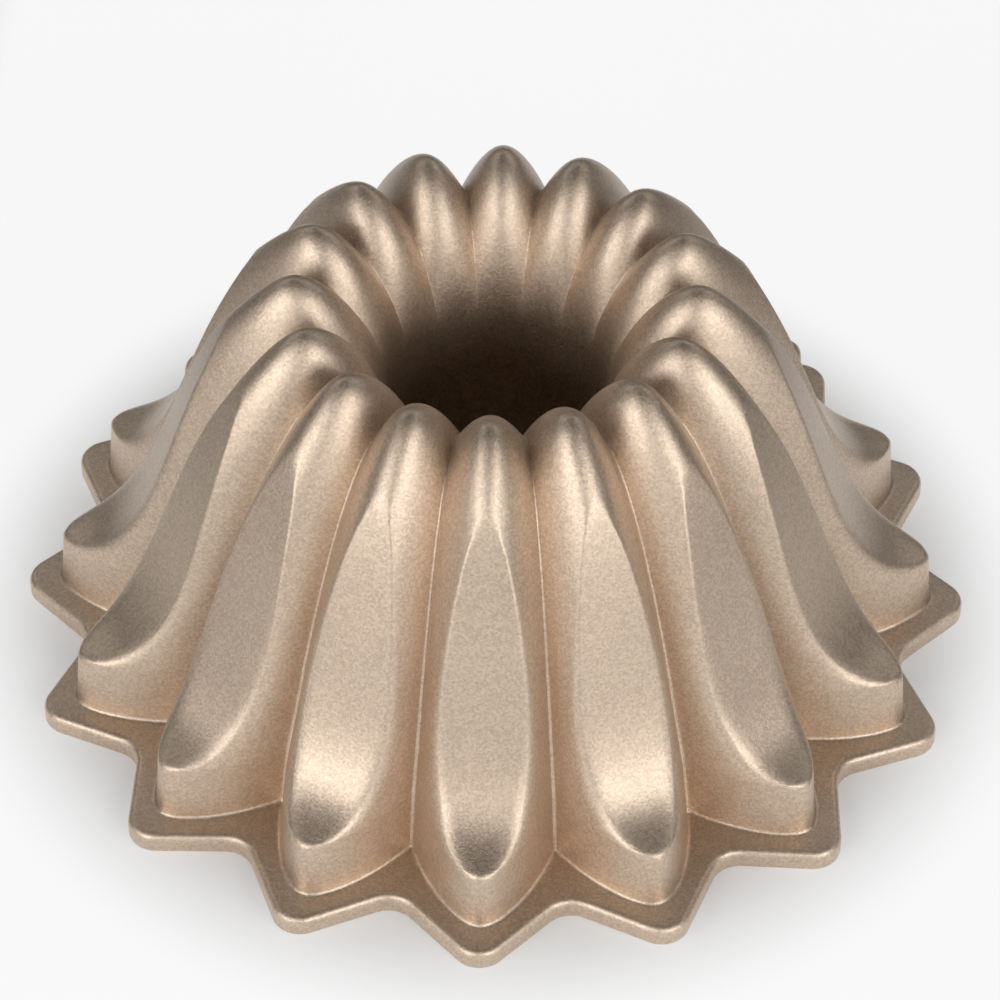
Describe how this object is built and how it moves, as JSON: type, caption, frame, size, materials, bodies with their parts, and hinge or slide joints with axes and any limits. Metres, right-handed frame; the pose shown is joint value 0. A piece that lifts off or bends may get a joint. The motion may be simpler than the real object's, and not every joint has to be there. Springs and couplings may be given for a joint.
{
  "type": "fluted ring cake pan",
  "caption": "Cast aluminium ring cake pan, upside down: fluted petal wall with scooped leaf facets, rounded crown, open centre tube and flat star-shaped rim flange.",
  "frame": {"origin": "centre of the flange's underside, on the pan's axis, with the pan upside down as it is stored and pictured", "axes": "+Z along the pan's axis from the flange up to the crown; -Y through the middle of petal_01, and the petals are numbered anticlockwise seen from above"},
  "size_m": [0.256, 0.256, 0.1177],
  "materials": {
    "champagne_finish": "satin champagne-gold coating with a fine grain over cast aluminium"
  },
  "bodies": {
    "root": {"rim_flange": "champagne_finish", "petal_01": "champagne_finish", "petal_02": "champagne_finish", "petal_03": "champagne_finish", "petal_04": "champagne_finish", "petal_05": "champagne_finish", "petal_06": "champagne_finish", "petal_07": "champagne_finish", "petal_08": "champagne_finish", "petal_09": "champagne_finish", "petal_10": "champagne_finish", "petal_11": "champagne_finish", "petal_12": "champagne_finish", "petal_13": "champagne_finish", "petal_14": "champagne_finish", "petal_15": "champagne_finish", "petal_16": "champagne_finish", "centre_tube": "champagne_finish"}
  },
  "joints": []
}
